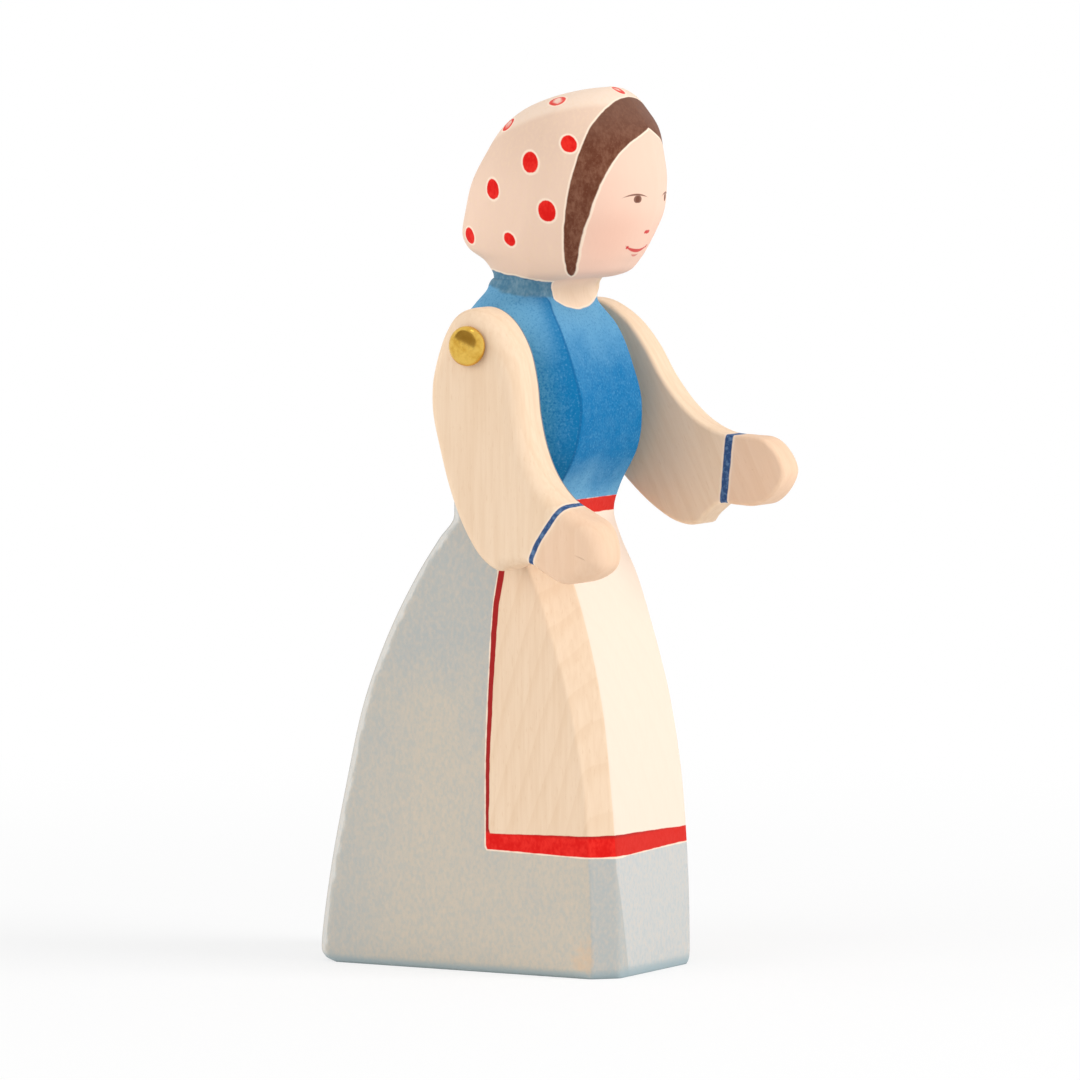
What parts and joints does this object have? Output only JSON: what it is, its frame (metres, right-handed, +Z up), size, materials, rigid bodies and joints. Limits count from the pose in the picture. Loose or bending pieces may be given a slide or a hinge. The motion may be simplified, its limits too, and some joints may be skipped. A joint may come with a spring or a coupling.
{
  "type": "wooden toy figure",
  "caption": "Free-standing carved wooden figure of a woman in a headscarf, long dress and apron, with flat arms that swing on brass nails.",
  "frame": {"origin": "centre of the flat base that the figure stands on", "axes": "+Z up, the figure looks along -Y, and +X is the figure's left side"},
  "size_m": [0.0446, 0.0612, 0.124],
  "materials": {
    "stained_wood": "matt, pale close-grained wood painted with thin water stains",
    "bare_wood": "matt, oiled pale close-grained wood",
    "brass": "polished"
  },
  "bodies": {
    "figure": {"body": "stained_wood", "right_nail": "brass", "left_nail": "brass"},
    "right_arm": {"right_arm": "bare_wood"},
    "left_arm": {"left_arm": "bare_wood"}
  },
  "joints": [
    {"name": "right_arm_swing", "type": "hinge", "parent": "figure", "child": "right_arm", "pos_m": [-0.01705, -0.0057, 0.0884], "axis": [-1, 0, 0], "continuous": true},
    {"name": "left_arm_swing", "type": "hinge", "parent": "figure", "child": "left_arm", "pos_m": [0.01705, -0.0057, 0.0884], "axis": [-1, 0, 0], "continuous": true}
  ]
}
